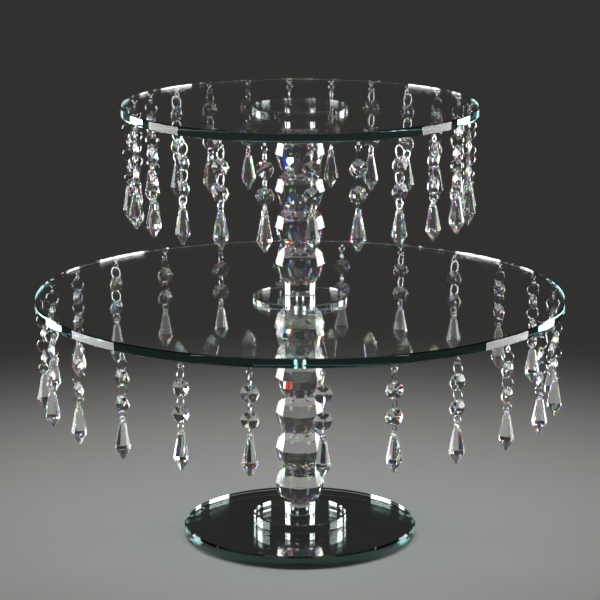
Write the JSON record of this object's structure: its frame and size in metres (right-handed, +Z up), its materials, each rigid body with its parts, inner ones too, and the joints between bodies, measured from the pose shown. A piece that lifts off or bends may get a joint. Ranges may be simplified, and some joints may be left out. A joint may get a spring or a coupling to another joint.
{
  "type": "tiered cake stand",
  "caption": "Round two-tier glass cake stand: cut crystal ball column on a mirror base, with swinging crystal pendants hung round both plates.",
  "frame": {"origin": "on the table, at the column's axis, under the base's pads", "axes": "+Z up the column; -Y faces the front; both plates, the base and the column are concentric with Z"},
  "size_m": [0.4499, 0.45, 0.376],
  "materials": {
    "plate_glass": "clear tempered float glass, polished green edge",
    "flange_glass": "clear optical glass, polished edge",
    "mirror_glass": "thick back-silvered glass with a polished bevelled edge",
    "crystal": "cut and polished lead-free crystal",
    "chrome": "bright chrome plate",
    "steel": "zinc-plated machine steel",
    "bumper": "clear soft bumper"
  },
  "bodies": {
    "stand": {"base_pads": "bumper", "base_mirror": "mirror_glass", "flange_discs": "flange_glass", "collars": "chrome", "lower_column_balls": "crystal", "joining_stud": "steel", "lower_plate": "plate_glass", "upper_column_balls": "crystal", "upper_plate": "plate_glass", "lower_hangers": "chrome", "upper_hangers": "chrome"},
    "lower_pendant_01": {"lower_pendant_01": "crystal"},
    "lower_pendant_02": {"lower_pendant_02": "crystal"},
    "lower_pendant_03": {"lower_pendant_03": "crystal"},
    "lower_pendant_04": {"lower_pendant_04": "crystal"},
    "lower_pendant_05": {"lower_pendant_05": "crystal"},
    "lower_pendant_06": {"lower_pendant_06": "crystal"},
    "lower_pendant_07": {"lower_pendant_07": "crystal"},
    "lower_pendant_08": {"lower_pendant_08": "crystal"},
    "lower_pendant_09": {"lower_pendant_09": "crystal"},
    "lower_pendant_10": {"lower_pendant_10": "crystal"},
    "lower_pendant_11": {"lower_pendant_11": "crystal"},
    "lower_pendant_12": {"lower_pendant_12": "crystal"},
    "lower_pendant_13": {"lower_pendant_13": "crystal"},
    "lower_pendant_14": {"lower_pendant_14": "crystal"},
    "lower_pendant_15": {"lower_pendant_15": "crystal"},
    "lower_pendant_16": {"lower_pendant_16": "crystal"},
    "lower_pendant_17": {"lower_pendant_17": "crystal"},
    "lower_pendant_18": {"lower_pendant_18": "crystal"},
    "lower_pendant_19": {"lower_pendant_19": "crystal"},
    "lower_pendant_20": {"lower_pendant_20": "crystal"},
    "lower_pendant_21": {"lower_pendant_21": "crystal"},
    "lower_pendant_22": {"lower_pendant_22": "crystal"},
    "lower_pendant_23": {"lower_pendant_23": "crystal"},
    "lower_pendant_24": {"lower_pendant_24": "crystal"},
    "upper_pendant_01": {"upper_pendant_01": "crystal"},
    "upper_pendant_02": {"upper_pendant_02": "crystal"},
    "upper_pendant_03": {"upper_pendant_03": "crystal"},
    "upper_pendant_04": {"upper_pendant_04": "crystal"},
    "upper_pendant_05": {"upper_pendant_05": "crystal"},
    "upper_pendant_06": {"upper_pendant_06": "crystal"},
    "upper_pendant_07": {"upper_pendant_07": "crystal"},
    "upper_pendant_08": {"upper_pendant_08": "crystal"},
    "upper_pendant_09": {"upper_pendant_09": "crystal"},
    "upper_pendant_10": {"upper_pendant_10": "crystal"},
    "upper_pendant_11": {"upper_pendant_11": "crystal"},
    "upper_pendant_12": {"upper_pendant_12": "crystal"},
    "upper_pendant_13": {"upper_pendant_13": "crystal"},
    "upper_pendant_14": {"upper_pendant_14": "crystal"},
    "upper_pendant_15": {"upper_pendant_15": "crystal"},
    "upper_pendant_16": {"upper_pendant_16": "crystal"},
    "upper_pendant_17": {"upper_pendant_17": "crystal"},
    "upper_pendant_18": {"upper_pendant_18": "crystal"},
    "upper_pendant_19": {"upper_pendant_19": "crystal"},
    "upper_pendant_20": {"upper_pendant_20": "crystal"},
    "upper_pendant_21": {"upper_pendant_21": "crystal"},
    "upper_pendant_22": {"upper_pendant_22": "crystal"},
    "upper_pendant_23": {"upper_pendant_23": "crystal"},
    "upper_pendant_24": {"upper_pendant_24": "crystal"}
  },
  "joints": [
    {"name": "lower_pendant_01_swing", "type": "hinge", "parent": "stand", "child": "lower_pendant_01", "pos_m": [0.01786, -0.21727, 0.19777], "axis": [0.9966, 0.0819, 0], "range_deg": [-80, 80]},
    {"name": "lower_pendant_02_swing", "type": "hinge", "parent": "stand", "child": "lower_pendant_02", "pos_m": [0.07349, -0.20524, 0.19777], "axis": [0.9415, 0.3371, 0], "range_deg": [-80, 80]},
    {"name": "lower_pendant_03_swing", "type": "hinge", "parent": "stand", "child": "lower_pendant_03", "pos_m": [0.1241, -0.17923, 0.19777], "axis": [0.8221, 0.5693, 0], "range_deg": [-80, 80]},
    {"name": "lower_pendant_04_swing", "type": "hinge", "parent": "stand", "child": "lower_pendant_04", "pos_m": [0.16626, -0.141, 0.19777], "axis": [0.6468, 0.7627, 0], "range_deg": [-80, 80]},
    {"name": "lower_pendant_05_swing", "type": "hinge", "parent": "stand", "child": "lower_pendant_05", "pos_m": [0.19709, -0.09316, 0.19777], "axis": [0.4274, 0.9041, 0], "range_deg": [-80, 80]},
    {"name": "lower_pendant_06_swing", "type": "hinge", "parent": "stand", "child": "lower_pendant_06", "pos_m": [0.21449, -0.03898, 0.19777], "axis": [0.1788, 0.9839, 0], "range_deg": [-80, 80]},
    {"name": "lower_pendant_07_swing", "type": "hinge", "parent": "stand", "child": "lower_pendant_07", "pos_m": [0.21727, 0.01786, 0.19777], "axis": [-0.0819, 0.9966, 0], "range_deg": [-80, 80]},
    {"name": "lower_pendant_08_swing", "type": "hinge", "parent": "stand", "child": "lower_pendant_08", "pos_m": [0.20524, 0.07349, 0.19777], "axis": [-0.3371, 0.9415, 0], "range_deg": [-80, 80]},
    {"name": "lower_pendant_09_swing", "type": "hinge", "parent": "stand", "child": "lower_pendant_09", "pos_m": [0.17923, 0.1241, 0.19777], "axis": [-0.5693, 0.8221, 0], "range_deg": [-80, 80]},
    {"name": "lower_pendant_10_swing", "type": "hinge", "parent": "stand", "child": "lower_pendant_10", "pos_m": [0.141, 0.16626, 0.19777], "axis": [-0.7627, 0.6468, 0], "range_deg": [-80, 80]},
    {"name": "lower_pendant_11_swing", "type": "hinge", "parent": "stand", "child": "lower_pendant_11", "pos_m": [0.09316, 0.19709, 0.19777], "axis": [-0.9041, 0.4274, 0], "range_deg": [-80, 80]},
    {"name": "lower_pendant_12_swing", "type": "hinge", "parent": "stand", "child": "lower_pendant_12", "pos_m": [0.03898, 0.21449, 0.19777], "axis": [-0.9839, 0.1788, 0], "range_deg": [-80, 80]},
    {"name": "lower_pendant_13_swing", "type": "hinge", "parent": "stand", "child": "lower_pendant_13", "pos_m": [-0.01786, 0.21727, 0.19777], "axis": [-0.9966, -0.0819, 0], "range_deg": [-80, 80]},
    {"name": "lower_pendant_14_swing", "type": "hinge", "parent": "stand", "child": "lower_pendant_14", "pos_m": [-0.07349, 0.20524, 0.19777], "axis": [-0.9415, -0.3371, 0], "range_deg": [-80, 80]},
    {"name": "lower_pendant_15_swing", "type": "hinge", "parent": "stand", "child": "lower_pendant_15", "pos_m": [-0.1241, 0.17923, 0.19777], "axis": [-0.8221, -0.5693, 0], "range_deg": [-80, 80]},
    {"name": "lower_pendant_16_swing", "type": "hinge", "parent": "stand", "child": "lower_pendant_16", "pos_m": [-0.16626, 0.141, 0.19777], "axis": [-0.6468, -0.7627, 0], "range_deg": [-80, 80]},
    {"name": "lower_pendant_17_swing", "type": "hinge", "parent": "stand", "child": "lower_pendant_17", "pos_m": [-0.19709, 0.09316, 0.19777], "axis": [-0.4274, -0.9041, 0], "range_deg": [-80, 80]},
    {"name": "lower_pendant_18_swing", "type": "hinge", "parent": "stand", "child": "lower_pendant_18", "pos_m": [-0.21449, 0.03898, 0.19777], "axis": [-0.1788, -0.9839, 0], "range_deg": [-80, 80]},
    {"name": "lower_pendant_19_swing", "type": "hinge", "parent": "stand", "child": "lower_pendant_19", "pos_m": [-0.21727, -0.01786, 0.19777], "axis": [0.0819, -0.9966, 0], "range_deg": [-80, 80]},
    {"name": "lower_pendant_20_swing", "type": "hinge", "parent": "stand", "child": "lower_pendant_20", "pos_m": [-0.20524, -0.07349, 0.19777], "axis": [0.3371, -0.9415, 0], "range_deg": [-80, 80]},
    {"name": "lower_pendant_21_swing", "type": "hinge", "parent": "stand", "child": "lower_pendant_21", "pos_m": [-0.17923, -0.1241, 0.19777], "axis": [0.5693, -0.8221, 0], "range_deg": [-80, 80]},
    {"name": "lower_pendant_22_swing", "type": "hinge", "parent": "stand", "child": "lower_pendant_22", "pos_m": [-0.141, -0.16626, 0.19777], "axis": [0.7627, -0.6468, 0], "range_deg": [-80, 80]},
    {"name": "lower_pendant_23_swing", "type": "hinge", "parent": "stand", "child": "lower_pendant_23", "pos_m": [-0.09316, -0.19709, 0.19777], "axis": [0.9041, -0.4274, 0], "range_deg": [-80, 80]},
    {"name": "lower_pendant_24_swing", "type": "hinge", "parent": "stand", "child": "lower_pendant_24", "pos_m": [-0.03898, -0.21449, 0.19777], "axis": [0.9839, -0.1788, 0], "range_deg": [-80, 80]},
    {"name": "upper_pendant_01_swing", "type": "hinge", "parent": "stand", "child": "upper_pendant_01", "pos_m": [0.00948, -0.14269, 0.36035], "axis": [0.9978, 0.0663, 0], "range_deg": [-80, 80]},
    {"name": "upper_pendant_02_swing", "type": "hinge", "parent": "stand", "child": "upper_pendant_02", "pos_m": [0.04608, -0.13537, 0.36035], "axis": [0.9466, 0.3223, 0], "range_deg": [-80, 80]},
    {"name": "upper_pendant_03_swing", "type": "hinge", "parent": "stand", "child": "upper_pendant_03", "pos_m": [0.07955, -0.11883, 0.36035], "axis": [0.831, 0.5563, 0], "range_deg": [-80, 80]},
    {"name": "upper_pendant_04_swing", "type": "hinge", "parent": "stand", "child": "upper_pendant_04", "pos_m": [0.1076, -0.09419, 0.36035], "axis": [0.6587, 0.7524, 0], "range_deg": [-80, 80]},
    {"name": "upper_pendant_05_swing", "type": "hinge", "parent": "stand", "child": "upper_pendant_05", "pos_m": [0.12831, -0.06314, 0.36035], "axis": [0.4415, 0.8973, 0], "range_deg": [-80, 80]},
    {"name": "upper_pendant_06_swing", "type": "hinge", "parent": "stand", "child": "upper_pendant_06", "pos_m": [0.14028, -0.02778, 0.36035], "axis": [0.1942, 0.981, 0], "range_deg": [-80, 80]},
    {"name": "upper_pendant_07_swing", "type": "hinge", "parent": "stand", "child": "upper_pendant_07", "pos_m": [0.14269, 0.00948, 0.36035], "axis": [-0.0663, 0.9978, 0], "range_deg": [-80, 80]},
    {"name": "upper_pendant_08_swing", "type": "hinge", "parent": "stand", "child": "upper_pendant_08", "pos_m": [0.13537, 0.04608, 0.36035], "axis": [-0.3223, 0.9466, 0], "range_deg": [-80, 80]},
    {"name": "upper_pendant_09_swing", "type": "hinge", "parent": "stand", "child": "upper_pendant_09", "pos_m": [0.11883, 0.07955, 0.36035], "axis": [-0.5563, 0.831, 0], "range_deg": [-80, 80]},
    {"name": "upper_pendant_10_swing", "type": "hinge", "parent": "stand", "child": "upper_pendant_10", "pos_m": [0.09419, 0.1076, 0.36035], "axis": [-0.7524, 0.6587, 0], "range_deg": [-80, 80]},
    {"name": "upper_pendant_11_swing", "type": "hinge", "parent": "stand", "child": "upper_pendant_11", "pos_m": [0.06314, 0.12831, 0.36035], "axis": [-0.8973, 0.4415, 0], "range_deg": [-80, 80]},
    {"name": "upper_pendant_12_swing", "type": "hinge", "parent": "stand", "child": "upper_pendant_12", "pos_m": [0.02778, 0.14028, 0.36035], "axis": [-0.981, 0.1942, 0], "range_deg": [-80, 80]},
    {"name": "upper_pendant_13_swing", "type": "hinge", "parent": "stand", "child": "upper_pendant_13", "pos_m": [-0.00948, 0.14269, 0.36035], "axis": [-0.9978, -0.0663, 0], "range_deg": [-80, 80]},
    {"name": "upper_pendant_14_swing", "type": "hinge", "parent": "stand", "child": "upper_pendant_14", "pos_m": [-0.04608, 0.13537, 0.36035], "axis": [-0.9466, -0.3223, 0], "range_deg": [-80, 80]},
    {"name": "upper_pendant_15_swing", "type": "hinge", "parent": "stand", "child": "upper_pendant_15", "pos_m": [-0.07955, 0.11883, 0.36035], "axis": [-0.831, -0.5563, 0], "range_deg": [-80, 80]},
    {"name": "upper_pendant_16_swing", "type": "hinge", "parent": "stand", "child": "upper_pendant_16", "pos_m": [-0.1076, 0.09419, 0.36035], "axis": [-0.6587, -0.7524, 0], "range_deg": [-80, 80]},
    {"name": "upper_pendant_17_swing", "type": "hinge", "parent": "stand", "child": "upper_pendant_17", "pos_m": [-0.12831, 0.06314, 0.36035], "axis": [-0.4415, -0.8973, 0], "range_deg": [-80, 80]},
    {"name": "upper_pendant_18_swing", "type": "hinge", "parent": "stand", "child": "upper_pendant_18", "pos_m": [-0.14028, 0.02778, 0.36035], "axis": [-0.1942, -0.981, 0], "range_deg": [-80, 80]},
    {"name": "upper_pendant_19_swing", "type": "hinge", "parent": "stand", "child": "upper_pendant_19", "pos_m": [-0.14269, -0.00948, 0.36035], "axis": [0.0663, -0.9978, 0], "range_deg": [-80, 80]},
    {"name": "upper_pendant_20_swing", "type": "hinge", "parent": "stand", "child": "upper_pendant_20", "pos_m": [-0.13537, -0.04608, 0.36035], "axis": [0.3223, -0.9466, 0], "range_deg": [-80, 80]},
    {"name": "upper_pendant_21_swing", "type": "hinge", "parent": "stand", "child": "upper_pendant_21", "pos_m": [-0.11883, -0.07955, 0.36035], "axis": [0.5563, -0.831, 0], "range_deg": [-80, 80]},
    {"name": "upper_pendant_22_swing", "type": "hinge", "parent": "stand", "child": "upper_pendant_22", "pos_m": [-0.09419, -0.1076, 0.36035], "axis": [0.7524, -0.6587, 0], "range_deg": [-80, 80]},
    {"name": "upper_pendant_23_swing", "type": "hinge", "parent": "stand", "child": "upper_pendant_23", "pos_m": [-0.06314, -0.12831, 0.36035], "axis": [0.8973, -0.4415, 0], "range_deg": [-80, 80]},
    {"name": "upper_pendant_24_swing", "type": "hinge", "parent": "stand", "child": "upper_pendant_24", "pos_m": [-0.02778, -0.14028, 0.36035], "axis": [0.981, -0.1942, 0], "range_deg": [-80, 80]}
  ]
}
